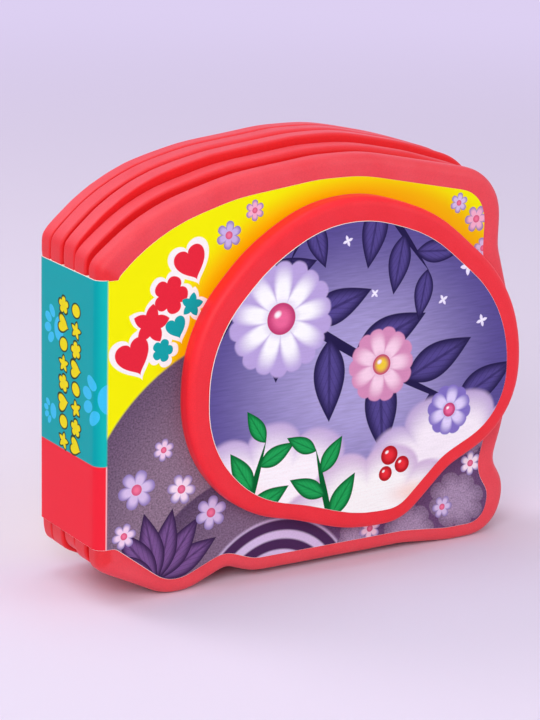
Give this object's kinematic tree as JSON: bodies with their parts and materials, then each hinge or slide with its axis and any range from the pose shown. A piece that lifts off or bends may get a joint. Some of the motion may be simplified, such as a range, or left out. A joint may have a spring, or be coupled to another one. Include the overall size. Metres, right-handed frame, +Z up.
{
  "type": "foam baby book",
  "caption": "Soft foam baby book with shaped leaves, rounded edges, a printed wrap cover, hinged front and back covers and a raised foam pad on the front.",
  "frame": {"origin": "middle of the book's outline on the surface that it stands on, under its feet", "axes": "+X from the spine to the open side, +Y from the front cover to the back cover, +Z up"},
  "size_m": [0.1082, 0.0324, 0.0968],
  "materials": {
    "foam": "satin closed-cell foam, edges rounded",
    "cover_print": "glossy laminated print",
    "pad_print": "glossy laminated print",
    "spine_print": "glossy laminated print",
    "page_print": "glossy laminated print"
  },
  "bodies": {
    "block": {"page_block": "foam", "spine_wrap_sheet": "spine_print", "first_page_sheet": "page_print", "last_page_sheet": "page_print"},
    "front_cover": {"front_cover_board": "foam", "front_wrap_sheet": "cover_print", "front_lining_sheet": "page_print", "raised_pad": "foam", "pad_sheet": "pad_print"},
    "back_cover": {"back_cover_board": "foam", "back_wrap_sheet": "cover_print", "back_lining_sheet": "page_print"}
  },
  "joints": [
    {"name": "front_cover_hinge", "type": "hinge", "parent": "block", "child": "front_cover", "pos_m": [-0.05419, -0.00613, 0.042], "axis": [0, 0, -1], "range_deg": [0, 180]},
    {"name": "back_cover_hinge", "type": "hinge", "parent": "block", "child": "back_cover", "pos_m": [-0.05419, 0.01063, 0.042], "axis": [0, 0, 1], "range_deg": [0, 180]}
  ]
}
